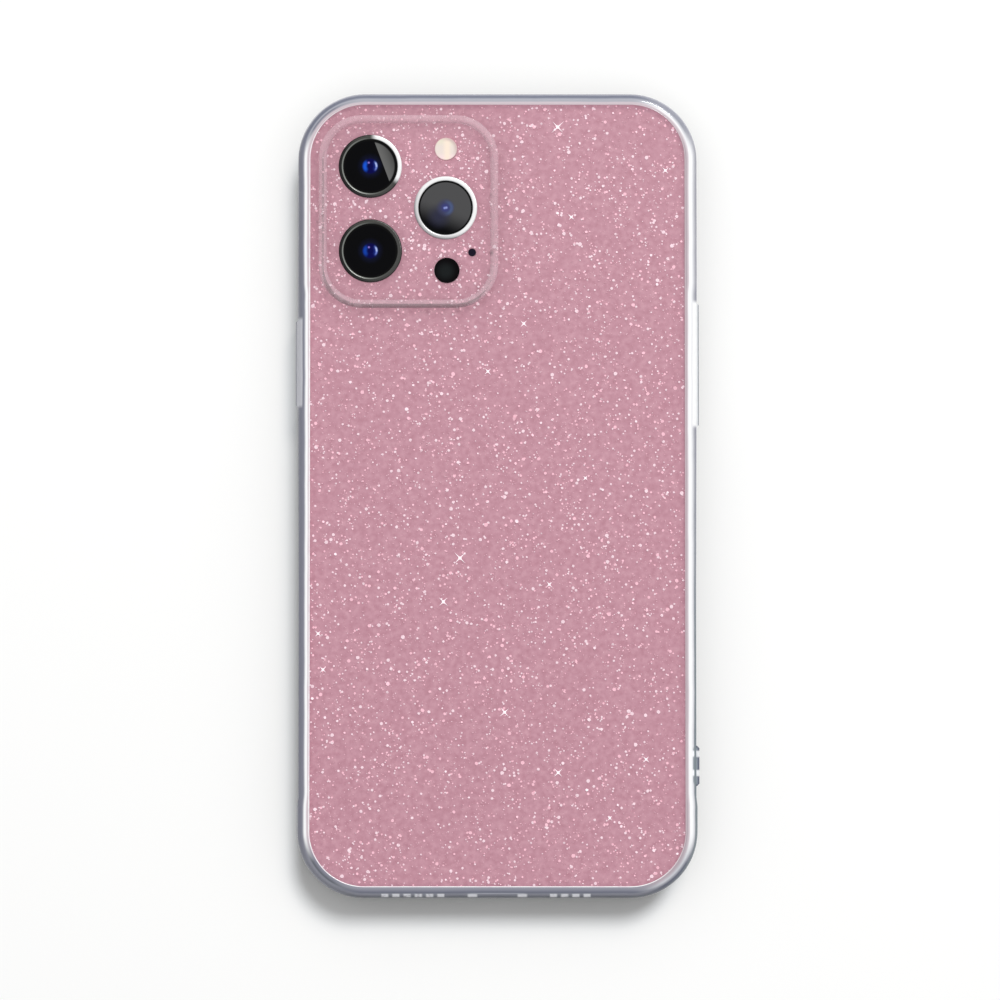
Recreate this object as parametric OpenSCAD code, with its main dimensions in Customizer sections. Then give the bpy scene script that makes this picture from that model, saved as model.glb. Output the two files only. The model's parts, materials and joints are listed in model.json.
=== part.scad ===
// Phone case with a clear soft frame, a glitter back and a raised camera deck.
// The case lies on its front lips: +Z is out of its back, +Y towards the camera end,
// +X to the right seen from behind. The origin is below the middle, in the plane of the lips.

/* [Phone] */
// Width of the phone that the case takes
phone_w = 78.1; // [76:0.1:82]
// Length of the phone
phone_l = 160.8; // [156:0.1:168]
// Thickness of the phone's body
phone_t = 7.4; // [7:0.1:9]
// Height of the phone's camera plateau above its back
plateau_t = 0.9; // [0.8:0.1:1.2]
// Free space between the phone and the case
phone_gap = 0.1; // [0.05:0.05:0.2]

/* [Frame] */
// Side wall at the corner cushions
side_wall = 1.5; // [1.4:0.05:2]
// Wall at the two ends
end_wall = 1.45; // [1.4:0.05:2]
// Outer corner radius, seen from behind
corner_r = 13.6; // [10:0.1:15]
// Thickness of the lip in front of the screen
lip_t = 1.2; // [1:0.1:2]
// How far the lip reaches in over the screen
lip_reach = 1.55; // [1:0.05:2]
// Width of the frame's rim beside the back plate
side_rim = 2.35; // [2.2:0.05:2.6]
// Width of the frame's rim above and below the back plate
end_rim = 2.2; // [2:0.05:2.6]
// How far the rim stands above the back plate
rim_step = 0.25; // [0.1:0.05:0.5]
// Rounding of the frame's outer edge at the back
back_edge_r = 1.8; // [1:0.1:2]
// Rounding of the frame's outer edge at the front
front_edge_r = 1.3; // [0.8:0.1:1.4]
// Depth of the waist between the corner cushions
waist_d = 0.27; // [0.1:0.01:0.35]

/* [Back layers] */
// Soft liner that the phone lies on
liner_t = 0.3; // [0.2:0.05:0.5]
// Pink film, and the glitter film on it
film_t = 0.15; // [0.1:0.05:0.2]
// Clear back plate
plate_t = 0.9; // [0.7:0.1:1.2]
// Clear plate over the camera deck
deck_t = 0.8; // [0.6:0.1:1]
// Free space round the edge of each layer
seat_gap = 0.03; // [0.02:0.01:0.1]

/* [Camera deck] */
// Centre of the deck, across and along
deck_x = -18.1; // [-19:0.1:-17]
deck_y = 57.65; // [54:0.05:58]
// Width outside the ridge
ridge_w = 36.6; // [35:0.1:38]
// Length outside the ridge
ridge_l = 39.4; // [38:0.1:40]
// Outer corner radius of the ridge
ridge_r = 8.8; // [8:0.1:10]
// Width of the ridge's bead
bead_w = 1.65; // [1.4:0.05:2]
// Height of the ridge above the back plate
ridge_h = 2; // [1.9:0.1:3]
// Outer radius of a lens ring
ring_r = 6.45; // [6.2:0.05:6.6]
// Radius of a lens glass
lens_r = 5.5; // [5.4:0.05:5.7]
// Radius of the clear well under a lens glass
well_r = 5.2; // [5:0.05:5.3]
// Radius of the coated window in the middle of a lens
window_r = 1.65; // [1:0.05:2.5]
// Radius of the flash window
flash_r = 2.3; // [2:0.05:2.6]
// Radius of the sensor window
sensor_r = 2.6; // [2:0.05:2.8]
// Radius of the microphone hole
mic_r = 0.8; // [0.5:0.05:1]

/* [Buttons] */
// Length of the side button
side_button_l = 18; // [12:0.5:20]
// Place of the side button along the left wall
side_button_y = 26.9; // [20:0.1:30]
// Length of the volume bar
volume_l = 25.5; // [20:0.5:28]
// Place of the volume bar along the right wall
volume_y = 26.6; // [24:0.1:27]
// Height of both buttons
button_h = 4.6; // [3.5:0.1:5]
// Half of the width over both buttons
button_out = 41.1; // [41:0.05:41.5]

/* [Openings and strap] */
// Length of the mute switch window
mute_l = 3; // [2.5:0.1:6]
// Place of the mute switch window along the right wall
mute_y = 41.6; // [41.6:0.1:46]
// Width of the charging port opening
port_w = 12.3; // [10:0.1:14]
// Height of the charging port opening
port_h = 5.6; // [5:0.1:6]
// Distance between sound slots
slot_pitch = 2.28; // [2.2:0.01:2.6]
// Length of the strap anchor
anchor_l = 8.2; // [7.8:0.1:9]
// Place of the strap anchor along the right wall
anchor_y = -55.15; // [-56:0.05:-50]
// Radius of a strap hole
strap_hole_r = 0.75; // [0.5:0.05:0.8]
// Distance between the two strap holes
strap_pitch = 3.9; // [3.4:0.1:4]
// How far the pair of holes sits above the anchor's middle
strap_shift = 0.5; // [0:0.1:0.6]

/* [Hidden] */
$fn = 64;
LENS_NAMES = ["upper", "middle", "lower"];
LENS_AT = [[-7.8, 9.2], [7.55, 0.7], [-7.75, -8.1]];

// The flash, sensor and microphone lie in the right half of the deck
flash_at = [7.6, 12.85];
sensor_at = [7.8, -12];
mic_at = [12.95, -8.3];

// Outline of the case and of the phone's pocket
pocket_w = phone_w + 2 * phone_gap;
pocket_l = phone_l + 2 * phone_gap;
case_w = pocket_w + 2 * side_wall;
case_l = pocket_l + 2 * end_wall;
pocket_r = corner_r - side_wall;
plate_w = case_w - 2 * side_rim;
plate_l = case_l - 2 * end_rim;
plate_r = corner_r - side_rim;

// Heights, from the lips up
pocket_top = lip_t + phone_t + phone_gap;
liner_top = pocket_top + liner_t;
pink_top = liner_top + film_t;
glitter_top = pink_top + film_t;
plate_top = glitter_top + plate_t;
rim_top = plate_top + rim_step;
deck_film_bottom = pocket_top + plateau_t + 2 * phone_gap;
deck_pink_top = deck_film_bottom + film_t;
deck_glitter_top = deck_pink_top + film_t;
deck_top = deck_glitter_top + deck_t;
ridge_top = plate_top + ridge_h;
mid_z = lip_t + (phone_t + phone_gap) / 2;

// How far in from the ridge's outside each layer of the deck starts
glitter_inset = 0.8;
pink_inset = glitter_inset + film_t;
void_inset = pink_inset + film_t;

// A lens ring: its base carries the mask and the glass, and its rim stands round them
ring_base_t = 0.45;
mask_t = 0.1;
glass_t = 0.3;
ring_h = 1;
ring_round = 0.3;
mask_r = 4.7;

// Buttons: a pad through the wall, with a flange that sits in a recess on the inside
wall_inside = pocket_w / 2;
recess_d = 0.75;
recess_margin = 0.3;
flange_margin = 0.6;
flange_t = 0.5;
flange_gap = 0.05;
rocker_fall = 0.35;
pad_gap = 0.2;
pad_chamfer = 0.5;
mute_h = 3.6;
mute_round = 0.6;

// Charging port and sound slots
port_relief = 0.5;
slot_w = 1.65;
slot_h = 3;
left_slots = 6;
left_slot_x = -22.85;
right_slots = 4;
right_slot_x = 11.35;

// Strap anchor
anchor_out = 41.07;
anchor_h = 5.4;
anchor_shoulder = 0.45;

cut = 1;

// ---- shared shapes ----

// Rounded rectangle, flat
module rounded(w, l, r) {
    square([w, l - 2 * r], center = true);
    square([w - 2 * r, l], center = true);
    for (sx = [-1, 1], sy = [-1, 1])
        translate([sx * (w / 2 - r), sy * (l / 2 - r)]) circle(r);
}

// Rounded block between two heights
module slab(w, l, r, low, high) {
    translate([0, 0, low]) linear_extrude(height = high - low) rounded(w, l, r);
}

// Block of the camera deck's outline, inset from the ridge's outside
module deck_slab(inset, low, high) {
    translate([deck_x, deck_y, 0])
        slab(ridge_w - 2 * inset, ridge_l - 2 * inset, ridge_r - inset, low, high);
}

// Carries a cross-section round a rounded rectangle. The section's x = 0 follows the rectangle
// and its y is the height.
module sweep(w, l, r) {
    for (quarter = [0:3]) {
        sx = quarter == 0 || quarter == 3 ? 1 : -1;
        sy = quarter < 2 ? 1 : -1;
        translate([sx * (w / 2 - r), sy * (l / 2 - r), 0]) rotate([0, 0, 90 * quarter])
            rotate_extrude(angle = 90) translate([r, 0]) children();
    }
    for (turn = [0, 180]) {
        rotate([0, 0, turn]) translate([w / 2, 0, 0]) rotate([90, 0, 0])
            linear_extrude(height = l - 2 * r, center = true) children();
        rotate([0, 0, turn + 90]) translate([l / 2, 0, 0]) rotate([90, 0, 0])
            linear_extrude(height = w - 2 * r, center = true) children();
    }
}

// Upright slot with round ends, through an end wall at y = 0
module wall_slot(w, h, depth) {
    r = min(w, h) / 2;
    rotate([90, 0, 0]) linear_extrude(height = depth, center = true) rounded(w, h, r * 0.999);
}

// Holes through the deck: three lens wells, flash, sensor and microphone
module deck_holes(low, high) {
    translate([deck_x, deck_y, low - cut]) {
        for (at = LENS_AT) translate(at) cylinder(r = well_r, h = high - low + 2 * cut);
        translate(flash_at) cylinder(r = flash_r, h = high - low + 2 * cut);
        translate(sensor_at) cylinder(r = sensor_r, h = high - low + 2 * cut);
        translate(mic_at) cylinder(r = mic_r, h = high - low + 2 * cut);
    }
}

// ---- frame ----

// Section of the frame from its outer face inwards, over the lip and the rim
module frame_section() {
    lip_in = side_wall + lip_reach;
    bevel = 0.2;
    translate([-lip_in, front_edge_r]) square([lip_in, rim_top - back_edge_r - front_edge_r]);
    translate([-lip_in, 0]) square([lip_in - front_edge_r, front_edge_r]);
    translate([-front_edge_r, front_edge_r]) circle(front_edge_r);
    translate([-back_edge_r, rim_top - back_edge_r]) circle(back_edge_r);
    polygon([
        [-lip_in, rim_top - back_edge_r], [-back_edge_r, rim_top - back_edge_r],
        [-back_edge_r, rim_top], [bevel - side_rim, rim_top],
        [-side_rim, rim_top - bevel], [-lip_in, rim_top - bevel]
    ]);
}

// Shallow waist that leaves the corner cushions standing proud of the side wall
module waist_cut() {
    half = case_w / 2;
    translate([0, 0, -cut]) linear_extrude(height = rim_top + 2 * cut) polygon([
        [half + cut, 42], [half, 42], [half - 0.45 * waist_d, 14], [half - waist_d, -20],
        [half - waist_d, -61.5], [half, -63.5], [half + cut, -63.5]
    ]);
}

// Hole for a button in the right wall, with the recess for its flange
module button_hole(l, y) {
    hole_l = l + 2 * pad_gap;
    hole_h = button_h + 2 * pad_gap;
    recess_l = l + 2 * (flange_margin + recess_margin);
    recess_h = button_h + 2 * (flange_margin + recess_margin);
    translate([wall_inside + 1, y, mid_z]) cube([6, hole_l, hole_h], center = true);
    translate([wall_inside - cut, y - recess_l / 2, mid_z - recess_h / 2])
        cube([cut + recess_d, recess_l, recess_h]);
}

// Port with its wider outer relief, and the two rows of sound slots, in the bottom wall
module bottom_openings() {
    wall_y = -case_l / 2 + end_wall / 2;
    translate([0, wall_y, mid_z]) wall_slot(port_w - 2 * port_relief, port_h - 2 * port_relief, 3);
    translate([0, -case_l / 2, mid_z]) wall_slot(port_w, port_h, 2 * port_relief);
    for (i = [0:left_slots - 1])
        translate([left_slot_x + i * slot_pitch, wall_y, mid_z]) wall_slot(slot_w, slot_h, 3);
    for (i = [0:right_slots - 1])
        translate([right_slot_x + i * slot_pitch, wall_y, mid_z]) wall_slot(slot_w, slot_h, 3);
}

module frame() {
    color([0.86, 0.9, 0.93, 0.45]) difference() {
        sweep(case_w, case_l, corner_r) frame_section();
        slab(pocket_w, pocket_l, pocket_r, lip_t, pocket_top);
        slab(plate_w, plate_l, plate_r, pocket_top - 0.01, rim_top + cut);
        waist_cut();
        mirror([1, 0, 0]) waist_cut();
        mirror([1, 0, 0]) button_hole(side_button_l, side_button_y);
        button_hole(volume_l, volume_y);
        translate([case_w / 2, mute_y, mid_z]) rotate([0, 90, 0])
            linear_extrude(height = 8, center = true) rounded(mute_h, mute_l, mute_round);
        translate([case_w / 2, anchor_y, mid_z])
            cube([8, anchor_l - 2 * anchor_shoulder, anchor_h - 2 * anchor_shoulder], center = true);
        bottom_openings();
    }
}

// ---- back layers ----

// Flat layer of the back, open under the camera deck
module back_layer(low, high, deck_inset) {
    difference() {
        slab(plate_w - 2 * seat_gap, plate_l - 2 * seat_gap, plate_r - seat_gap, low, high);
        deck_slab(deck_inset, low - cut, high + cut);
    }
}

// Film pressed to the shape of the back: flat, up round the deck, and over it
module formed_film(low, deck_low, outer_inset) {
    back_layer(low, low + film_t, outer_inset + film_t);
    difference() {
        deck_slab(outer_inset, low, deck_low + film_t);
        deck_slab(outer_inset + film_t, low - cut, deck_low);
        deck_holes(deck_low, deck_low + film_t);
    }
}

module inner_liner() {
    color("white") back_layer(pocket_top, liner_top, void_inset);
}

module pink_film() {
    color([0.78, 0.56, 0.62]) formed_film(liner_top, deck_film_bottom, pink_inset);
}

module glitter_film() {
    color([0.95, 0.78, 0.83]) formed_film(pink_top, deck_pink_top, glitter_inset);
}

module back_plate() {
    color([0.95, 0.82, 0.86, 0.4]) difference() {
        union() {
            slab(plate_w - 2 * seat_gap, plate_l - 2 * seat_gap, plate_r - seat_gap,
                glitter_top, plate_top);
            deck_slab(0, glitter_top, deck_top);
        }
        deck_slab(glitter_inset, glitter_top - cut, deck_glitter_top);
        deck_holes(deck_glitter_top, deck_top);
    }
}

// Section of the bead on the deck's edge: upright sides and a round top
module bead_section() {
    round_z = ridge_top - bead_w / 2;
    translate([-bead_w, deck_top]) square([bead_w, round_z - deck_top]);
    translate([-bead_w / 2, round_z]) intersection() {
        circle(bead_w / 2);
        translate([-bead_w, 0]) square([2 * bead_w, bead_w]);
    }
}

module camera_ridge() {
    color([0.93, 0.86, 0.89, 0.5]) translate([deck_x, deck_y, 0])
        sweep(ridge_w, ridge_l, ridge_r) bead_section();
}

// ---- camera windows ----

// Puts its children at one lens, on the deck's upper face
module at_lens(i) {
    translate([deck_x + LENS_AT[i][0], deck_y + LENS_AT[i][1], deck_top]) children();
}

module ring_section() {
    rim_w = ring_r - lens_r;
    translate([well_r, 0]) square([ring_r - well_r, ring_base_t]);
    translate([lens_r, 0]) square([rim_w, ring_h - ring_round]);
    translate([lens_r + ring_round, 0]) square([rim_w - 2 * ring_round, ring_h]);
    translate([lens_r + ring_round, ring_h - ring_round]) circle(ring_round);
    translate([ring_r - ring_round, ring_h - ring_round]) circle(ring_round);
}

module lens_ring(i) {
    color(i == 1 ? "whitesmoke" : "dimgray") at_lens(i) rotate_extrude() ring_section();
}

module lens_glass(i) {
    color([0.1, 0.1, 0.12]) at_lens(i) translate([0, 0, ring_base_t + mask_t])
        cylinder(r = lens_r, h = glass_t);
}

module lens_mask(i) {
    color("black") at_lens(i) translate([0, 0, ring_base_t]) difference() {
        cylinder(r = lens_r, h = mask_t);
        translate([0, 0, -cut]) cylinder(r = mask_r, h = mask_t + 2 * cut);
    }
}

module lens_window(i) {
    color([0.08, 0.12, 0.5]) at_lens(i) translate([0, 0, ring_base_t])
        cylinder(r = window_r, h = mask_t);
}

// Disc in a hole of the deck, a little below the deck's face
module deck_disc(at, r, sink, t) {
    translate([deck_x + at[0], deck_y + at[1], deck_top - sink - t])
        cylinder(r = r - seat_gap, h = t);
}

module flash_window() {
    color([0.98, 0.92, 0.86]) deck_disc(flash_at, flash_r, 0.05, 1);
}

module sensor_window() {
    color([0.03, 0.03, 0.035]) deck_disc(sensor_at, sensor_r, 0.05, 1);
}

module mic_mesh() {
    color([0.08, 0.07, 0.1]) deck_disc(mic_at, mic_r, 0.5, 0.5);
}

// ---- strap anchor and buttons, on the right wall ----

// Pad that stands out of the wall: straight sides, with chamfers on all four outer edges
module side_pad(l, h, from_x, to_x) {
    intersection() {
        translate([0, 0, -h]) linear_extrude(height = 2 * h) polygon([
            [from_x, -l / 2], [to_x - pad_chamfer, -l / 2], [to_x, pad_chamfer - l / 2],
            [to_x, l / 2 - pad_chamfer], [to_x - pad_chamfer, l / 2], [from_x, l / 2]
        ]);
        rotate([90, 0, 0]) linear_extrude(height = 2 * l, center = true) polygon([
            [from_x, -h / 2], [to_x - pad_chamfer, -h / 2], [to_x, pad_chamfer - h / 2],
            [to_x, h / 2 - pad_chamfer], [to_x - pad_chamfer, h / 2], [from_x, h / 2]
        ]);
    }
}

module strap_anchor() {
    wall_out = case_w / 2 - waist_d;
    body_l = anchor_l - 2 * anchor_shoulder;
    body_h = anchor_h - 2 * anchor_shoulder;
    color([0.8, 0.86, 0.9, 0.5]) translate([0, anchor_y, mid_z]) difference() {
        union() {
            side_pad(anchor_l, anchor_h, wall_out, anchor_out);
            translate([wall_inside, -body_l / 2, -body_h / 2])
                cube([wall_out - wall_inside, body_l, body_h]);
        }
        for (side = [-1, 1])
            translate([wall_inside - cut, strap_shift + side * strap_pitch / 2, 0])
                rotate([0, 90, 0])
                    cylinder(r = strap_hole_r, h = anchor_out - wall_inside + 2 * cut);
    }
}

// Flange that keeps a button in the wall. Its outer face falls away from the middle by fall.
module flange(l, fall) {
    outer = wall_inside + recess_d - flange_gap;
    inner = outer - flange_t;
    h = button_h + 2 * flange_margin;
    half = l / 2 + flange_margin;
    translate([0, 0, -h / 2]) linear_extrude(height = h) polygon([
        [inner, -half], [outer - fall, -half], [outer, 0], [outer - fall, half], [inner, half]
    ]);
}

module button(l, fall) {
    flange(l, fall);
    side_pad(l, button_h, wall_inside + recess_d - flange_gap - flange_t, button_out);
}

module side_button() {
    color([0.75, 0.8, 0.86, 0.6]) mirror([1, 0, 0]) translate([0, side_button_y, mid_z])
        button(side_button_l, 0);
}

module volume_bar() {
    color([0.75, 0.8, 0.86, 0.6]) translate([0, volume_y, mid_z]) button(volume_l, rocker_fall);
}

// ---- the assembly ----

frame();
inner_liner();
pink_film();
glitter_film();
back_plate();
camera_ridge();
for (i = [0:2]) {
    lens_ring(i);
    lens_glass(i);
    lens_mask(i);
    lens_window(i);
}
flash_window();
sensor_window();
mic_mesh();
strap_anchor();
side_button();
volume_bar();
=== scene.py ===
"""Looks of the phone case: clear frame, glitter back and camera deck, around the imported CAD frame."""

import json
import math
import random

import bpy
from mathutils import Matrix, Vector, noise


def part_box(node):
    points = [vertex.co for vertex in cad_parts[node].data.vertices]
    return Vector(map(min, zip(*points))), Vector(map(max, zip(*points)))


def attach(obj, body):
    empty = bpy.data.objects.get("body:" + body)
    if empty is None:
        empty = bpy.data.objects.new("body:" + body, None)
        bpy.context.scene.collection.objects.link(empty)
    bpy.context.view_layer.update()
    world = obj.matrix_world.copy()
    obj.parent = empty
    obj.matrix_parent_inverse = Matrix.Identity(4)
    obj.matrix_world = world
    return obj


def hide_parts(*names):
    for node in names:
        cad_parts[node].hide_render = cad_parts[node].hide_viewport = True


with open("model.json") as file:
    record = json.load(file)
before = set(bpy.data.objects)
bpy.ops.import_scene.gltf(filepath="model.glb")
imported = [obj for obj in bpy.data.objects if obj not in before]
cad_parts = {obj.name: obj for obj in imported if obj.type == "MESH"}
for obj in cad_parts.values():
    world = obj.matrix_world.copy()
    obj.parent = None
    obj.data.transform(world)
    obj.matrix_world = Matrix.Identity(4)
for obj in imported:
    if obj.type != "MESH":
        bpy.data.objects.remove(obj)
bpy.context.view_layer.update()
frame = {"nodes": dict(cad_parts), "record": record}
nodes = frame["nodes"]
MM = 0.001
UP = Vector((0, 0, 1))
LENSES = ("upper", "middle", "lower")

# Sizes in mm across the back. The case's middle is at 0, 0.
CASE_RADIUS = 13.6
PLATE_RADIUS = 11.25
DECK_RADIUS = 8.8
BAND_DEPTH = 2.4  # how far the coloured bands of the rim reach in from the outline
PAD_DEPTH = 1.2  # the same for the pads
WAIST = (-62.0, 42.0)  # where the sides draw in, along Y
WAIST_DEPTH = 0.2
SLOT_PITCH = 2.28
SLOT_ROWS = ((-22.85, -22.85 + 5 * SLOT_PITCH), (11.35, 11.35 + 3 * SLOT_PITCH))
STRAP_HOLES = [
    mount["pos_m"][1] / MM
    for mount in frame["record"]["mounts"]
    if mount["name"].startswith("strap_hole")
]

# Light and camera, in metres
LIGHT_FROM = Vector((0.73, 1.58, 2.2))
LIGHT_SIZE = 0.8
LIGHT_POWER = 58.0
SKY_STRENGTH = 0.52
CAMERA_TARGET = Vector((0.53, -0.87, 5)) * MM
CAMERA_DISTANCE = 1.3
CAMERA_LEAN = math.radians(3.3)
VIEW_WIDTH = 204.14 * MM
SENSOR = 36.0


class Box:
    """Box of a CAD node in mm."""

    def __init__(self, node):
        low, high = [Vector(corner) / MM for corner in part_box(node)]
        self.low, self.high = low, high
        self.x, self.y, self.z = (low + high) / 2
        self.half_x, self.half_y = (high.x - low.x) / 2, (high.y - low.y) / 2


# ---- materials ----


def srgb(r, g, b):
    """Linear colour from 0 to 255 display values."""
    values = [c / 255 for c in (r, g, b)]
    linear = [c / 12.92 if c <= 0.04045 else ((c + 0.055) / 1.055) ** 2.4 for c in values]
    return (*linear, 1.0)


class Shader:
    """A new node material with short calls to add and join nodes."""

    def __init__(self, name):
        self.material = bpy.data.materials.new(name)
        self.material.use_nodes = True
        self.tree = self.material.node_tree
        self.tree.nodes.clear()
        self.output = self.add("ShaderNodeOutputMaterial")

    def add(self, kind, **settings):
        """Adds a node. A setting is an attribute of the node, or an input by its name or number."""
        node = self.tree.nodes.new(kind)
        inputs = settings.pop("inputs", {})
        for key, value in settings.items():
            setattr(node, key, value)
        for key, value in inputs.items():
            if isinstance(value, bpy.types.NodeSocket):
                self.tree.links.new(value, node.inputs[key])
            else:
                node.inputs[key].default_value = value
        return node

    def principled(self, **inputs):
        return self.add("ShaderNodeBsdfPrincipled", inputs=inputs)

    def coordinates(self):
        return self.add("ShaderNodeTexCoord").outputs["Object"]

    def noise(self, scale, detail=2.0, vector=None, **inputs):
        settings = {"Scale": scale, "Detail": detail, "Vector": vector or self.coordinates()}
        return self.add("ShaderNodeTexNoise", inputs={**settings, **inputs}).outputs["Fac"]

    def ramp(self, factor, stops, interpolation="LINEAR"):
        """Colour ramp over (position, colour) stops."""
        node = self.add("ShaderNodeValToRGB", inputs={"Fac": factor})
        node.color_ramp.interpolation = interpolation
        elements = node.color_ramp.elements
        while len(elements) < len(stops):
            elements.new(0.5)
        for element, (position, colour) in zip(elements, stops):
            element.position = position
            element.color = colour
        return node.outputs["Color"]

    def math(self, operation, first, second=0.0, clamp=False):
        node = self.add("ShaderNodeMath", operation=operation, use_clamp=clamp)
        for socket, value in zip(node.inputs, (first, second)):
            if isinstance(value, bpy.types.NodeSocket):
                self.tree.links.new(value, socket)
            else:
                socket.default_value = value
        return node.outputs[0]

    def bump(self, height, strength, distance):
        inputs = {"Height": height, "Strength": strength, "Distance": distance}
        return self.add("ShaderNodeBump", inputs=inputs).outputs["Normal"]

    def grain(self):
        """Normal of a surface with a very fine grain."""
        return self.bump(self.noise(4000.0, 2.0), 0.1, 0.00002)

    def ripple(self):
        """Normal of a moulded surface that isn't quite flat."""
        return self.bump(self.noise(260.0, 1.0), 0.12, 0.0002)

    def mix(self, factor, first, second):
        return self.add("ShaderNodeMixShader", inputs={0: factor, 1: first, 2: second}).outputs[0]

    def see_through(self, *tint):
        return self.add("ShaderNodeBsdfTransparent", inputs={"Color": (*tint, 1.0)}).outputs[0]

    def lit_through(self, body, *tint):
        """Lets light pass through a clear body, which would cast a black shadow otherwise."""
        shadow = self.add("ShaderNodeLightPath").outputs["Is Shadow Ray"]
        return self.mix(shadow, body, self.see_through(*tint))

    def millimetres(self):
        """Object coordinates in mm, and their X, Y and Z."""
        inputs = {0: self.coordinates(), "Scale": 1 / MM}
        scaled = self.add("ShaderNodeVectorMath", operation="SCALE", inputs=inputs).outputs[0]
        parts = self.add("ShaderNodeSeparateXYZ", inputs={0: scaled})
        return scaled, [parts.outputs[axis] for axis in "XYZ"]

    def local(self, box):
        """Position in mm across a node's upper face, from its middle."""
        moved = self.add("ShaderNodeVectorMath", operation="SUBTRACT")
        moved.inputs[1].default_value = Vector((box.x, box.y, 0)) * MM
        self.tree.links.new(self.coordinates(), moved.inputs[0])
        flat = self.add("ShaderNodeVectorMath", operation="MULTIPLY")
        flat.inputs[1].default_value = (1 / MM, 1 / MM, 0)
        self.tree.links.new(moved.outputs[0], flat.inputs[0])
        return flat.outputs[0]

    def along(self, place, angle):
        """Distance in mm from the middle along a direction."""
        angle = math.radians(angle)
        node = self.add("ShaderNodeVectorMath", operation="DOT_PRODUCT", inputs={0: place})
        node.inputs[1].default_value = (math.cos(angle), math.sin(angle), 0)
        return node.outputs["Value"]

    def fade(self, value, start, end):
        """0 at start and 1 at end, smooth between them. The start may be the higher one."""
        node = self.add("ShaderNodeMapRange", interpolation_type="SMOOTHSTEP", inputs={"Value": value})
        node.inputs["From Min"].default_value = start
        node.inputs["From Max"].default_value = end
        return node.outputs["Result"]

    def disc(self, place, x, y, radius, soft):
        """1 inside a disc, in mm from the middle, and 0 outside it."""
        node = self.add("ShaderNodeVectorMath", operation="DISTANCE", inputs={0: place})
        node.inputs[1].default_value = (x, y, 0)
        return self.fade(node.outputs["Value"], radius + soft, radius - soft)

    def ring(self, place, inner, outer, soft):
        wide, narrow = self.disc(place, 0, 0, outer, soft), self.disc(place, 0, 0, inner, soft)
        return self.math("SUBTRACT", wide, narrow, True)

    def side(self, place, angle, reach, soft):
        """1 over the directions within reach degrees of an angle."""
        unit = self.add("ShaderNodeVectorMath", operation="NORMALIZE", inputs={0: place}).outputs[0]
        low, high = math.cos(math.radians(reach + soft)), math.cos(math.radians(reach - soft))
        return self.fade(self.along(unit, angle), low, high)

    def both(self, *masks):
        """1 where all the masks are 1."""
        product, *rest = masks
        for mask in rest:
            product = self.math("MULTIPLY", product, mask)
        return product

    def without(self, mask):
        return self.math("SUBTRACT", 1.0, mask)

    def paint(self, base, layers):
        """Lays colours over a base, each through its mask."""
        colour = base
        for mask, top in layers:
            node = self.add("ShaderNodeMix", data_type="RGBA", inputs={0: mask, 7: top})
            if isinstance(colour, bpy.types.NodeSocket):
                self.tree.links.new(colour, node.inputs[6])
            else:
                node.inputs[6].default_value = colour
            colour = node.outputs[2]
        return colour

    def finish(self, surface):
        if not isinstance(surface, bpy.types.NodeSocket):
            surface = surface.outputs[0]
        self.tree.links.new(surface, self.output.inputs["Surface"])
        return self.material


def clear_plastic(name, tint, milky, roughness, haze, ior):
    """Polished clear plastic: it bends light, lets lamps through, and has a faint milky haze."""
    s = Shader(name)
    glass = s.principled(**{
        "Base Color": tint, "Roughness": roughness, "IOR": ior, "Transmission Weight": 1.0,
        "Normal": s.ripple(),
    })
    milk = s.add("ShaderNodeBsdfDiffuse", inputs={"Color": milky})
    body = s.mix(haze, glass.outputs[0], milk.outputs[0])
    return s.finish(s.lit_through(body, 0.99, 0.99, 0.99))


def clear_cover(name, roughness):
    """Clear hard sheet lying flat on what it covers: only its gloss shows."""
    s = Shader(name)
    white = (1.0, 1.0, 1.0, 1.0)
    gloss = s.add("ShaderNodeBsdfAnisotropic", inputs={"Color": white, "Roughness": roughness})
    outside = s.without(s.add("ShaderNodeNewGeometry").outputs["Backfacing"])
    fresnel = s.add("ShaderNodeFresnel", inputs={"IOR": 1.4}).outputs[0]
    return s.finish(s.mix(s.both(fresnel, outside), s.see_through(1.0, 1.0, 1.0), gloss.outputs[0]))


def pink_sheet():
    """Printed film, slightly mottled."""
    s = Shader("pink_film")
    mottle = s.noise(900.0, 3.0, Roughness=0.6)
    tones = [(0.28, srgb(184, 127, 143)), (0.5, srgb(195, 140, 156)), (0.74, srgb(208, 156, 170))]
    colour = s.ramp(mottle, tones)
    return s.finish(s.principled(**{"Base Color": colour, "Roughness": 0.45}))


def glitter(name, colour, roughness, painted_glint=0.0):
    """Material of one kind of flake. The painted glint is a glow: emission that stands for a flake flashing
    at the viewer, though the flake is no lamp.
    """
    s = Shader(name)
    return s.finish(s.principled(**{
        "Base Color": colour, "Roughness": roughness,
        "Emission Color": colour, "Emission Strength": painted_glint,
    }))


def plain(name, colour, roughness, **inputs):
    """One even colour with a fine grain."""
    s = Shader(name)
    basic = {"Base Color": colour, "Roughness": roughness, "Normal": s.grain()}
    return s.finish(s.principled(**{**basic, **inputs}))


def dress(node, material):
    """Gives a CAD node one material in all its slots."""
    mesh = nodes[node].data
    mesh.materials.clear()
    mesh.materials.append(material)


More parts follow.
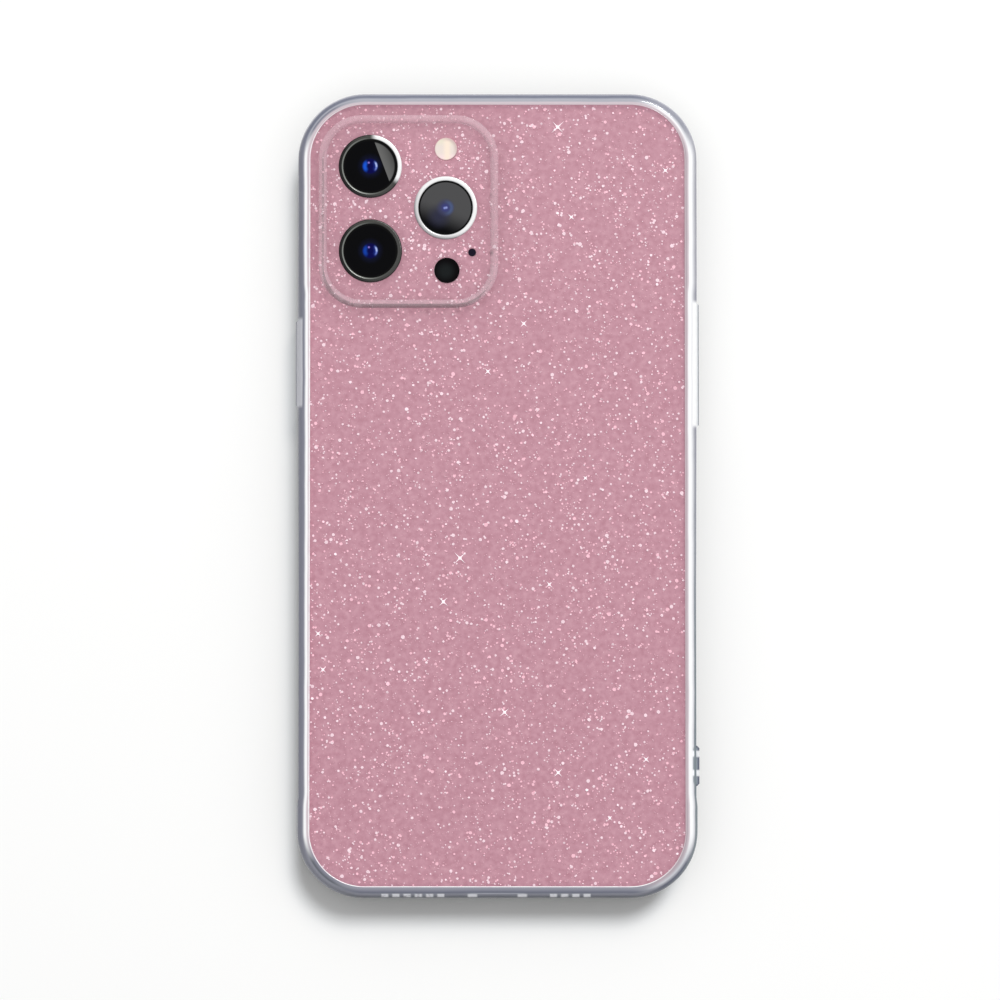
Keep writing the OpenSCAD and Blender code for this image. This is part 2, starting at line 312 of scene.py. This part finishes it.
class Around:
    """Where a point lies round the case's rounded outline, as shader values."""

    def __init__(self, s, box, radius):
        def vector(operation, *inputs):
            return s.add("ShaderNodeVectorMath", operation=operation, inputs=dict(enumerate(inputs)))

        scaled, (self.x, self.y, self.z) = s.millimetres()
        mirrored = vector("ABSOLUTE", scaled).outputs[0]
        # The third value is higher than the case, so that height counts for nothing
        straight = (box.half_x - radius, box.half_y - radius, 20.0)
        past = vector("SUBTRACT", mirrored, straight).outputs[0]
        corner = vector("MAXIMUM", past, (0, 0, 0)).outputs[0]
        reach = vector("LENGTH", corner).outputs["Value"]
        unit = vector("NORMALIZE", corner).outputs[0]
        across = s.add("ShaderNodeSeparateXYZ", inputs={0: unit}).outputs["X"]
        self.sideways = s.both(across, across)
        diagonal = s.both(self.sideways, s.without(self.sideways))
        self.corner = s.math("MULTIPLY", diagonal, 5.0, True)
        self.upper = s.fade(self.y, -1.0, 1.0)
        self.right = s.fade(self.x, -1.0, 1.0)
        self.depth = s.math("SUBTRACT", radius, reach)

    def colour(self, s, top, bottom, left, right):
        """Blends four colours or sockets round the outline."""
        ends = s.paint(bottom, [(self.upper, top)])
        sides = s.paint(left, [(self.right, right)])
        return s.paint(ends, [(self.sideways, sides)])


def window(s, value, low, high, soft):
    """1 where a value lies between low and high."""
    return s.both(s.fade(value, low - soft, low + soft), s.fade(value, high + soft, high - soft))


# Tones of the clear rim seen along its thickness: from shade to caught light, then with pink behind it
SLATE = srgb(100, 104, 112)
SMOKE = srgb(116, 119, 134)
DUSK = srgb(134, 135, 148)
GREY = srgb(150, 151, 162)
SILVER = srgb(172, 173, 182)
PALE = srgb(208, 209, 215)
WHITE = srgb(252, 252, 253)
BLUSH = srgb(210, 197, 203)
MAUVE = srgb(180, 167, 175)


def painted_rim_light(s, at, depth):
    """Painted light and shade of the rim by depth in mm: one ramp for each side and each corner, blended
    into one another, as each side is lit differently.
    """
    share = s.math("DIVIDE", depth, BAND_DEPTH, True)

    def band(*stops):
        return s.ramp(share, [(t / BAND_DEPTH, tone) for t, tone in stops])

    top = band((0.35, GREY), (0.6, SMOKE), (0.8, SMOKE), (1.25, SILVER), (1.6, SILVER), (1.9, BLUSH))
    bottom = band((0.2, SLATE), (0.6, GREY), (0.8, GREY), (1.15, SMOKE), (1.5, DUSK), (2.0, GREY))
    left = band(
        (0.0, GREY), (0.4, DUSK), (0.95, DUSK), (1.15, GREY), (1.5, WHITE), (1.75, WHITE), (2.0, BLUSH),
    )
    right = band((0.15, GREY), (1.1, WHITE), (1.5, WHITE), (1.75, BLUSH), (2.2, MAUVE))
    bend_up_left = band(
        (0.2, PALE), (0.4, DUSK), (0.65, SMOKE), (0.95, SMOKE), (1.2, SILVER), (1.5, SMOKE), (1.95, BLUSH),
    )
    bend_up_right = band((0.0, PALE), (0.35, GREY), (1.0, GREY), (1.35, PALE), (1.65, WHITE), (2.0, BLUSH))
    bend_low_left = band((0.4, GREY), (1.15, GREY), (1.45, SLATE), (2.0, DUSK))
    bend_low_right = band((0.0, GREY), (0.35, SMOKE), (0.7, SMOKE), (1.3, PALE), (1.9, MAUVE))
    bend_up = s.paint(bend_up_left, [(at.right, bend_up_right)])
    bend_low = s.paint(bend_low_left, [(at.right, bend_low_right)])
    bend = s.paint(bend_low, [(at.upper, bend_up)])
    return s.paint(at.colour(s, top, bottom, left, right), [(at.corner, bend)])


def rim_pad_light(s, at, depth):
    """Layers of painted light and shade on the rim: beside the pads, painted highlights over the strap
    holes and painted shade down the lower right wall.
    """
    layers = []
    # The pads stand out of the wall; the rim beside them is painted with light and shade: white light
    # beside the volume bar, pale light beside the side button, grey shade beside the strap anchor.
    rim = s.both(s.fade(depth, 0.85, 0.65), at.sideways)
    tones = {
        "side_button": (204, 204, 211),
        "volume_bar": (250, 250, 250),
        "strap_anchor": (150, 158, 164),
    }
    for pad, tone in tones.items():
        place = Box(pad)
        side = at.right if place.x > 0 else s.without(at.right)
        beside = window(s, at.y, place.low.y + 0.6, place.high.y - 0.6, 0.5)
        layers.append((s.both(rim, beside, side), srgb(*tone)))
    right_wall = s.both(at.right, at.sideways)
    # Painted highlights of the light caught in the strap holes
    for hole in STRAP_HOLES:
        beside = window(s, at.y, hole - 0.6, hole + 0.6, 0.3)
        layers.append((s.both(beside, s.fade(depth, 1.3, 0.7), right_wall), srgb(250, 251, 253)))
    # Painted shade: the right wall turns greyer towards its lower end
    outer = window(s, depth, 0.02, 0.5, 0.12)
    layers.append((s.both(s.fade(at.y, 18.0, -40.0), right_wall, outer), srgb(124, 134, 140)))
    return layers


def lower_marks(s, at):
    """Layers for the light caught in the sound slots, in the ends of the port and on its lip."""
    layers = []
    lower = s.without(at.upper)
    from_middle = s.math("ABSOLUTE", at.x)
    broken = s.fade(s.noise(900.0, 1.0), 0.12, 0.5)
    level = window(s, at.depth, 0.22, 0.84, 0.12)
    for first, last in SLOT_ROWS:
        row = window(s, at.x, first - 0.75, last + 0.75, 0.05)
        cell = s.math("PINGPONG", s.math("SUBTRACT", at.x, first), SLOT_PITCH / 2)
        dash = s.both(row, s.fade(cell, 0.95, 0.5), broken)
        layers.append((s.both(dash, level, lower), srgb(246, 247, 252)))
    ends = s.both(window(s, from_middle, 4.1, 6.0, 0.25), window(s, at.depth, 0.22, 0.8, 0.14))
    layers.append((s.both(ends, lower), srgb(244, 245, 250)))
    lip = s.both(s.fade(from_middle, 6.1, 5.2), window(s, at.depth, 0.84, 1.0, 0.06))
    layers.append((s.both(lip, lower), srgb(176, 178, 188)))
    return layers


def edge_plastic(name, box, radius):
    """Soft clear plastic of the frame. The light bent inside it is painted as bands of light and shade
    along the rim, and it clears down the walls."""
    s = Shader(name)
    at = Around(s, box, radius)
    waist = s.both(window(s, at.y, *WAIST, 1.5), at.sideways, WAIST_DEPTH)
    streak = s.math("MULTIPLY", s.math("SUBTRACT", s.noise(110.0, 3.0), 0.5), 0.3)
    depth = s.math("ADD", s.math("SUBTRACT", at.depth, waist), streak)
    colour = s.paint(painted_rim_light(s, at, depth), rim_pad_light(s, at, depth) + lower_marks(s, at))
    raised = s.fade(at.z, 6.0, 9.0)
    glass = s.principled(**{
        "Base Color": s.paint(srgb(236, 240, 246), [(raised, colour)]), "Roughness": 0.05, "IOR": 1.45,
        "Transmission Weight": s.math("SUBTRACT", 0.95, s.math("MULTIPLY", raised, 0.9)),
        "Specular IOR Level": 0.25, "Normal": s.ripple(),
    })
    return s.finish(s.lit_through(glass.outputs[0], 0.9, 0.91, 0.92))


def bead_highlight_shader(name, box, radius):
    """Painted highlight on the thin bead along the plate's edge in its rim: white along the bottom and
    left, duller pink on the top and right.
    """
    s = Shader(name)
    at = Around(s, box, radius)
    white = s.ramp(s.noise(500.0, 3.0), [(0.4, srgb(250, 238, 244)), (0.55, srgb(255, 255, 255))])
    colour = at.colour(s, srgb(224, 208, 214), white, white, srgb(202, 184, 190))
    return s.finish(s.principled(**{"Base Color": colour, "Roughness": 0.15}))


def side_plastic(name, box, stops, holes=()):
    """Clear plastic of a pad on a side wall, with painted light and shade: dark along its outline, light
    inside it, and a painted highlight over each hole.
    """
    s = Shader(name)
    _, (x, y, z) = s.millimetres()
    outer = max(abs(box.low.x), abs(box.high.x))
    from_face = s.math("SUBTRACT", outer, s.math("ABSOLUTE", x))
    from_middle = s.math("ABSOLUTE", s.math("SUBTRACT", y, box.y))
    from_end = s.math("SUBTRACT", box.half_y, from_middle)
    depth = s.math("DIVIDE", s.math("MINIMUM", from_face, from_end), PAD_DEPTH, True)
    colour = s.ramp(depth, [(t / PAD_DEPTH, srgb(*value)) for t, value in stops])
    # Painted highlight over each hole
    for hole in holes:
        near = s.math("ABSOLUTE", s.math("SUBTRACT", y, hole))
        colour = s.paint(colour, [(s.fade(near, 0.85, 0.4), srgb(252, 253, 255))])
    upper = s.fade(z, 4.8, 7.0)
    glass = s.principled(**{
        "Base Color": colour, "Roughness": 0.06, "IOR": 1.45,
        "Transmission Weight": s.math("SUBTRACT", 0.92, s.math("MULTIPLY", upper, 0.7)),
    })
    return s.finish(s.lit_through(glass.outputs[0], 0.92, 0.93, 0.94))


dress("frame", edge_plastic("clear_tpu", Box("frame"), CASE_RADIUS))
dress("strap_anchor", side_plastic("clear_anchor", Box("strap_anchor"), [
    (0.0, (84, 86, 106)), (0.3, (112, 118, 134)), (0.55, (158, 168, 178)), (1.0, (182, 190, 198)),
], STRAP_HOLES))
dress("side_button", side_plastic("clear_side_button", Box("side_button"), [
    (0.0, (156, 156, 163)), (0.25, (216, 216, 223)), (0.5, (246, 246, 252)), (1.0, (250, 250, 255)),
]))
dress("volume_bar", side_plastic("clear_volume_bar", Box("volume_bar"), [
    (0.0, (128, 134, 142)), (0.16, (168, 173, 180)), (0.3, (244, 245, 247)), (1.0, (252, 252, 252)),
]))
dress("back_plate", clear_cover("clear_plate", 0.05))
dress("glitter_film", clear_cover("clear_film", 0.3))
dress("camera_ridge", clear_plastic(
    "clear_ridge", tint=srgb(255, 252, 254), milky=srgb(255, 232, 238), roughness=0.14, haze=0.2, ior=1.06,
))
dress("pink_film", pink_sheet())
dress("inner_liner", plain("liner", srgb(235, 228, 231), 0.6))


def lens_blue(s, place, left_arc):
    """Coating in the middle of a dark lens, a navy halo and core, with painted reflections over it: two
    arcs and a violet glint.
    """
    mottle = s.fade(s.noise(900.0, 1.0), -0.5, 0.9)
    rim = s.ring(place, 0.75, 1.45, 0.3)
    thin = s.ring(place, 1.12, 1.42, 0.14)
    return [
        (s.both(s.disc(place, 0, 0, 2.1, 0.8), mottle), srgb(16, 20, 46)),
        (s.disc(place, 0, 0, 1.5, 0.25), srgb(8, 8, 72)),
        # Painted reflections: two arcs of light and a violet glint
        (s.both(rim, s.side(place, 180, 32, 38)), left_arc),
        (s.both(rim, s.side(place, 0, 25, 40)), srgb(24, 40, 120)),
        (s.both(thin, s.side(place, 4, 26, 30)), srgb(112, 132, 206)),
        (s.both(thin, s.side(place, 14, 8, 18)), srgb(170, 186, 232)),
        (s.disc(place, -0.3, 0.72, 0.17, 0.15), srgb(146, 124, 214)),
    ]


def lens_glass(name, box):
    """Dark cover glass, with the coating in its middle and painted reflections, glare and glints over it.
    """
    s = Shader(f"glass_{name}")
    place = s.local(box)
    edge = s.ring(place, 5.18, 9.0, 0.06)
    black = srgb(7, 7, 9)
    if name == "middle":
        # Painted reflections on the middle glass: lighter towards the top, dark violet at the lower left, a
        # bluish ring and two light glints in the middle
        lit = s.fade(s.along(place, 68), -4.6, 0.4)
        layers = [
            (lit, srgb(76, 76, 77)),
            (s.disc(place, -1.3, -1.7, 1.6, 1.5), srgb(46, 47, 66)),
            (s.disc(place, 0, 0, 1.5, 0.7), srgb(62, 64, 94)),
            (s.both(s.ring(place, 0.85, 1.5, 0.35), s.side(place, 0, 60, 60)), srgb(74, 88, 124)),
            (s.disc(place, 0, 0, 0.8, 0.35), srgb(60, 64, 116)),
            (s.disc(place, -0.2, -0.05, 0.2, 0.2), srgb(140, 152, 214)),
            (s.disc(place, 0.16, 0.02, 0.2, 0.2), srgb(150, 160, 216)),
            (edge, srgb(10, 11, 11)),
        ]
    else:
        layers = lens_blue(s, place, srgb(24, 84, 206) if name == "upper" else srgb(20, 62, 160))
        if name == "upper":
            # Painted reflection: a straight-edged glare over the right of the glass, brightest along its
            # edge
            beyond = s.along(place, 20.7)
            painted_glare = s.both(s.fade(beyond, 2.52, 2.62), s.fade(beyond, 7.5, 2.0))
            painted_glare = s.both(painted_glare, s.disc(place, 0, 0, 4.95, 0.15))
            layers.append((painted_glare, srgb(104, 104, 103)))
        layers.append((edge, srgb(14, 14, 14)))
    return s.finish(s.principled(**{
        "Base Color": s.paint(black, layers), "Roughness": 0.04, "Specular IOR Level": 0.06,
    }))


def lens_ring(name, box):
    """Turned ring with painted light and shade: lighter arcs and a fine light line round its seat, a bright
    arc on the upper ring, and painted shade on the lower left of the middle ring.
    """
    s = Shader(f"ring_{name}")
    place = s.local(box)
    lathe = s.noise(26.0, 3.0, place)
    seat = s.ring(place, 5.45, 5.78, 0.09)
    if name == "middle":
        base = srgb(250, 250, 250)
        # Painted shade on the lower left of the white middle ring
        layers = [
            (s.side(place, 225, 55, 40), srgb(212, 211, 212)),
            (s.both(s.ring(place, 6.05, 6.7, 0.2), s.side(place, 225, 60, 30)), srgb(176, 174, 176)),
            (s.ring(place, 5.0, 5.55, 0.05), srgb(24, 25, 25)),
        ]
    else:
        base = srgb(30, 29, 29)
        # Painted highlights: lighter arcs on the right and top, and a light line round the seat
        layers = [
            (s.both(s.ring(place, 5.5, 6.35, 0.2), s.side(place, 340, 70, 50)), srgb(70, 70, 68)),
            (s.both(s.ring(place, 5.8, 6.25, 0.15), s.side(place, 90, 30, 30)), srgb(72, 72, 68)),
            (s.both(seat, s.side(place, 190, 95, 40)), srgb(136, 139, 134)),
            (s.both(seat, s.side(place, 350, 50, 40)), srgb(82, 82, 80)),
        ]
        if name == "upper":
            # Painted highlight: a white arc on the upper right of the upper ring
            arc = s.both(s.ring(place, 5.62, 7.0, 0.08), s.side(place, 27, 56, 8))
            layers.append((arc, srgb(252, 252, 252)))
        layers.append((s.ring(place, 5.0, 5.45, 0.05), srgb(12, 12, 12)))
    rough = s.math("ADD", s.math("MULTIPLY", lathe, 0.12), 0.22)
    return s.finish(s.principled(**{
        "Base Color": s.paint(base, layers), "Metallic": 0.25, "Roughness": rough,
        "Specular IOR Level": 0.3,
    }))


def flash_lens(box):
    """Cream diffuser with a warmer bar down its middle, and painted shade round its upper right edge."""
    s = Shader("flash")
    place = s.local(box)
    across, along = s.along(place, 0), s.along(place, 90)
    grain = s.bump(s.noise(8.0, vector=place), 0.1, 0.00002)
    colour = s.paint(srgb(232, 219, 211), [
        (s.fade(along, 0.2, 1.8), srgb(232, 224, 204)),
        (s.fade(along, -0.6, -1.9), srgb(244, 220, 220)),
        (s.both(s.fade(across, -0.9, 0.2), s.fade(across, 1.3, 0.4)), srgb(247, 229, 211)),
        # Painted shade round the upper right edge
        (s.both(s.ring(place, 1.75, 4.0, 0.4), s.side(place, 40, 50, 40)), srgb(206, 186, 180)),
        (s.ring(place, 2.16, 4.0, 0.14), srgb(218, 190, 188)),
    ])
    return s.finish(s.principled(**{
        "Base Color": colour, "Roughness": 0.4, "Specular IOR Level": 0.2, "Normal": grain,
    }))


def sensor_glass(box):
    """Black glass with a dull grey middle."""
    s = Shader("sensor")
    place = s.local(box)
    colour = s.paint(srgb(9, 6, 8), [(s.disc(place, -0.25, -0.2, 1.5, 1.0), srgb(27, 30, 31))])
    return s.finish(s.principled(**{
        "Base Color": colour, "Roughness": 0.08, "Specular IOR Level": 0.06, "Normal": s.grain(),
    }))


for name in LENSES:
    dress(f"lens_ring_{name}", lens_ring(name, Box(f"lens_ring_{name}")))
    dress(f"lens_glass_{name}", lens_glass(name, Box(f"lens_glass_{name}")))
    dress(f"lens_mask_{name}", plain(f"mask_{name}", srgb(10, 10, 10), 0.6))
    dress(f"lens_window_{name}", plain(f"window_{name}", srgb(20, 50, 180), 0.1))
dress("flash_window", flash_lens(Box("flash_window")))
dress("sensor_window", sensor_glass(Box("sensor_window")))
dress("mic_mesh", plain("mesh", srgb(24, 19, 36), 0.8, **{"Specular IOR Level": 0.1}))
# What lies in the deck's bores casts no shadow on the film beside it
lens_parts = [f"lens_{part}_{name}" for part in ("ring", "glass", "mask", "window") for name in LENSES]
for node in lens_parts + ["flash_window", "sensor_window", "mic_mesh"]:
    nodes[node].visible_shadow = False


# ---- glitter ----

plate_box, film_box, ridge_box = Box("back_plate"), Box("glitter_film"), Box("camera_ridge")
round_nodes = [f"lens_ring_{name}" for name in LENSES] + ["flash_window", "sensor_window", "mic_mesh"]
round_boxes = [Box(node) for node in round_nodes]
film_thickness = 0.15
flat_top = Box("inner_liner").high.z + film_thickness
deck_top = Box("pink_film").high.z
# The ridge's middle line lies this far inside its outline, and its broad part this far to either side
RIDGE_INSET = 0.95
RIDGE_REACH = 0.6


def rounded_edge(x, y, box, radius, inset=0.0):
    """Signed distance in mm from a box's rounded outline pulled in by inset. It is negative inside."""
    dx = abs(x - box.x) - (box.half_x - radius)
    dy = abs(y - box.y) - (box.half_y - radius)
    return math.hypot(max(dx, 0), max(dy, 0)) + min(max(dx, dy), 0) - radius + inset


def film_height(x, y, reach):
    """Height in mm under a flake that reaches that far from its middle, or None where it can't lie."""
    if rounded_edge(x, y, plate_box, PLATE_RADIUS) > -reach:
        return None
    if any(math.hypot(x - hole.x, y - hole.y) < hole.half_x + reach for hole in round_boxes):
        return None
    deck = rounded_edge(x, y, ridge_box, DECK_RADIUS, RIDGE_INSET)
    if abs(deck) < reach + 0.05:
        return ridge_box.high.z - 0.7 if abs(deck) + reach < RIDGE_REACH else None
    return deck_top if deck < 0 else flat_top


class Prisms:
    """Thin closed prisms gathered into one mesh."""

    def __init__(self):
        self.points, self.faces, self.slots = [], [], []

    def add(self, centre, outline, normal, thickness, slot):
        """Adds a prism. The outline is (x, y) pairs in mm in the plane that faces along normal."""
        across = normal.cross(Vector((0.0, 1.0, 0.0))).normalized()
        along = normal.cross(across)
        first, sides = len(self.points), len(outline)
        for level in (thickness / 2, -thickness / 2):
            for x, y in outline:
                self.points.append((centre - across * x - along * y + normal * level) * MM)
        self.faces.append(list(range(first, first + sides)))
        self.faces.append(list(range(first + 2 * sides - 1, first + sides - 1, -1)))
        for corner in range(sides):
            here, after = first + corner, first + (corner + 1) % sides
            self.faces.append([here, here + sides, after + sides, after])
        self.slots += [slot] * (sides + 2)

    def build(self, name, materials):
        mesh = bpy.data.meshes.new(name)
        mesh.from_pydata(self.points, [], self.faces)
        for material in materials:
            mesh.materials.append(material)
        mesh.polygons.foreach_set("material_index", self.slots)
        return add_piece(name, mesh)


def add_piece(name, mesh):
    piece = bpy.data.objects.new(name, mesh)
    bpy.context.scene.collection.objects.link(piece)
    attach(piece, "shell")
    return piece


def flakes(name, count, size, tilt, sides, seed, materials):
    """Loose flakes in the glitter film, thicker in some places than in others."""
    rng = random.Random(seed)
    prisms = Prisms()
    done = 0
    while done < count:
        x = rng.uniform(film_box.low.x, film_box.high.x)
        y = rng.uniform(film_box.low.y, film_box.high.y)
        broad, close = [noise.noise(Vector((x / cell, y / cell, seed))) for cell in (6, 2)]
        crowd = 0.5 + 0.6 * broad + 0.3 * close
        diameter = size(rng)
        height = film_height(x, y, diameter / 2)
        base = 0.45 if height == deck_top else 0.2
        if height is None or rng.random() > base + 0.8 * crowd:
            continue
        lean, turn, spin = math.radians(tilt(rng)), rng.uniform(0, math.tau), rng.uniform(0, math.tau)
        sideways = math.sin(lean)
        normal = Vector((sideways * math.cos(turn), sideways * math.sin(turn), math.cos(lean)))
        radii = [diameter / 2 * rng.uniform(0.75, 1.0) for _ in range(sides)]
        angles = [spin + math.tau * corner / sides for corner in range(sides)]
        outline = [(r * math.cos(a), r * math.sin(a)) for r, a in zip(radii, angles)]
        prisms.add(Vector((x, y, height + 0.07)), outline, normal, 0.016, rng.randrange(len(materials)))
        done += 1
    return prisms.build(name, materials)


def star_flakes(name, count, seed, materials):
    """Large flakes cut as four-point stars with a round core. They stand for four-point glints, so their
    shape and glow are painted glint light.
    """
    rng = random.Random(seed)
    prisms = Prisms()
    done = 0
    while done < count:
        x = rng.uniform(film_box.low.x, film_box.high.x)
        y = rng.uniform(film_box.low.y, film_box.high.y)
        reach = rng.choice((0.7, 0.9, 1.0, 1.4, 1.9))
        height = film_height(x, y, reach)
        if height is None:
            continue
        turn = math.radians(45 + rng.uniform(-4, 4))
        outline = []
        for corner in range(8):
            r = reach * rng.uniform(0.85, 1.0) if corner % 2 == 0 else 0.17
            angle = turn + math.tau * corner / 8
            outline.append((r * math.cos(angle), r * math.sin(angle)))
        prisms.add(Vector((x, y, height + 0.1)), outline, UP, 0.02, rng.randrange(len(materials)))
        core = reach * 0.1 + 0.16
        turns = [math.tau * n / 12 for n in range(12)]
        outline = [(core * math.cos(angle), core * math.sin(angle)) for angle in turns]
        prisms.add(Vector((x, y, height + 0.12)), outline, UP, 0.03, rng.randrange(len(materials)))
        done += 1
    return prisms.build(name, materials)


bright = [
    glitter("flake_white", srgb(255, 224, 234), 0.4),
    glitter("flake_rose", srgb(255, 199, 214), 0.4),
]
fine = [
    glitter("fine_rose", srgb(222, 172, 186), 0.5),
    glitter("fine_pink", srgb(238, 192, 205), 0.5),
]
chips = flakes(
    "glitter_flakes", 6700,
    lambda rng: min(0.95, rng.lognormvariate(math.log(0.405), 0.35)),
    lambda rng: abs(rng.gauss(0, 8)), 6, 3, bright,
)
flakes(
    "glitter_fine", 9000,
    lambda rng: rng.uniform(0.18, 0.36),
    lambda rng: abs(rng.gauss(0, 14)), 4, 7, fine,
)
# Star flakes are painted glints: white, with a faint glow of their own
star_flakes("glitter_stars", 15, 12, [glitter("star_glint_white", srgb(255, 240, 246), 0.3, 0.22)])
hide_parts("glitter_film")


def sweep_highlight_bead(name, inset, z, radius):
    """Thin round bead along the plate's edge, swept round its rounded outline. It stands for the highlight
    on the rim's inner edge.
    """
    outline = []
    corner = PLATE_RADIUS
    for quarter in range(4):
        sx, sy = (1, 1, -1, -1)[quarter], (1, -1, -1, 1)[quarter]
        middle = Vector((sx * (plate_box.half_x - corner), sy * (plate_box.half_y - corner), z))
        for step in range(25):
            angle = math.radians(90 - 90 * quarter - 90 * step / 24)
            outward = Vector((math.cos(angle), math.sin(angle), 0))
            outline.append((middle + outward * (corner - inset), outward))
    sides = 10
    points = []
    for middle, outward in outline:
        for n in range(sides):
            angle = math.tau * n / sides
            points.append((middle + (outward * math.cos(angle) + UP * math.sin(angle)) * radius) * MM)
    faces = []
    for i in range(len(outline)):
        j = (i + 1) % len(outline)
        for n in range(sides):
            m = (n + 1) % sides
            faces.append([i * sides + n, i * sides + m, j * sides + m, j * sides + n])
    mesh = bpy.data.meshes.new(name)
    mesh.from_pydata(points, [], faces)
    mesh.shade_smooth()
    mesh.materials.append(bead_highlight_shader("edge_highlight_bead", plate_box, corner))
    bead = add_piece(name, mesh)
    bead.visible_shadow = False


plate_thickness = 0.9
# A bright bead standing for the highlight along the rim's inner edge
sweep_highlight_bead("plate_edge_highlight", 0.02, flat_top + film_thickness + plate_thickness + 0.1, 0.13)


# ---- floor, light and camera ----


def floor_paper():
    """Pale paper. It can be looked through from below, so that the underside of the case shows."""
    s = Shader("floor")
    paper = s.principled(**{"Base Color": srgb(251, 251, 250), "Roughness": 0.6, "Normal": s.grain()})
    below = s.add("ShaderNodeNewGeometry").outputs["Backfacing"]
    return s.finish(s.mix(below, paper.outputs[0], s.see_through(1.0, 1.0, 1.0)))


def place_piece(name, data, place=(0, 0, 0)):
    """Adds an object to the scene at a place, and returns it."""
    piece = bpy.data.objects.new(name, data)
    piece.location = place
    bpy.context.scene.collection.objects.link(piece)
    return piece


def aim(piece, direction):
    """Turns a lamp or camera so that it looks along a direction."""
    piece.rotation_euler = direction.to_track_quat("-Z", "Y").to_euler()


half = 3.0
floor_mesh = bpy.data.meshes.new("floor")
floor_corners = [(-half, -half, 0), (half, -half, 0), (half, half, 0), (-half, half, 0)]
floor_mesh.from_pydata(floor_corners, [], [(0, 1, 2, 3)])
floor_mesh.materials.append(floor_paper())
floor = place_piece("floor", floor_mesh, (0, 0, -0.02 * MM))

# A pale round wall behind the floor, for looks from the side. It takes no part in the lighting.
steps, reach, height = 96, 2.9, 3.0
turns = [math.tau * n / steps for n in range(steps)]
wall_points = [(reach * math.cos(t), reach * math.sin(t), z) for z in (0.0, height) for t in turns]
wall_faces = [(n, n + steps, (n + 1) % steps + steps, (n + 1) % steps) for n in range(steps)]
wall_mesh = bpy.data.meshes.new("backdrop")
wall_mesh.from_pydata(wall_points, [], wall_faces)
wall_mesh.shade_smooth()
wall_mesh.materials.append(plain("backdrop", srgb(246, 246, 246), 0.9))
wall = place_piece("backdrop", wall_mesh)
for ray in ("diffuse", "glossy", "transmission", "volume_scatter", "shadow"):
    setattr(wall, f"visible_{ray}", False)

lamp = bpy.data.lights.new("key", "AREA")
lamp.shape = "DISK"
lamp.size = LIGHT_SIZE
lamp.energy = LIGHT_POWER
aim(place_piece("key", lamp, LIGHT_FROM), -LIGHT_FROM)

# Soft light from all round, dimmer and bluer near the horizon
world = bpy.data.worlds.new("studio")
bpy.context.scene.world = world
world.use_nodes = True
sky = world.node_tree
background = sky.nodes["Background"]
direction = sky.nodes.new("ShaderNodeTexCoord")
parts = sky.nodes.new("ShaderNodeSeparateXYZ")
fade = sky.nodes.new("ShaderNodeValToRGB")
sky.links.new(direction.outputs["Generated"], parts.inputs[0])
sky.links.new(parts.outputs["Z"], fade.inputs["Fac"])
sky.links.new(fade.outputs["Color"], background.inputs["Color"])
horizon, above = fade.color_ramp.elements
horizon.position, horizon.color = 0.08, srgb(92, 100, 124)
above.position, above.color = 0.45, srgb(255, 255, 255)
background.inputs["Strength"].default_value = SKY_STRENGTH

# The camera looks down on the case, leaning a little towards its lower end
back = Vector((0, -math.sin(CAMERA_LEAN), math.cos(CAMERA_LEAN)))
lens = bpy.data.cameras.new("camera")
lens.sensor_width = SENSOR
lens.lens = SENSOR * CAMERA_DISTANCE / VIEW_WIDTH
camera = place_piece("camera", lens, CAMERA_TARGET + back * CAMERA_DISTANCE)
aim(camera, -back)
bpy.context.scene.camera = camera

scene = bpy.context.scene
scene.view_settings.view_transform = "Standard"
scene.cycles.caustics_refractive = False
scene.cycles.caustics_reflective = False
scene.cycles.transparent_max_bounces = 24
scene.cycles.max_bounces = 16
scene.cycles.transmission_bounces = 12
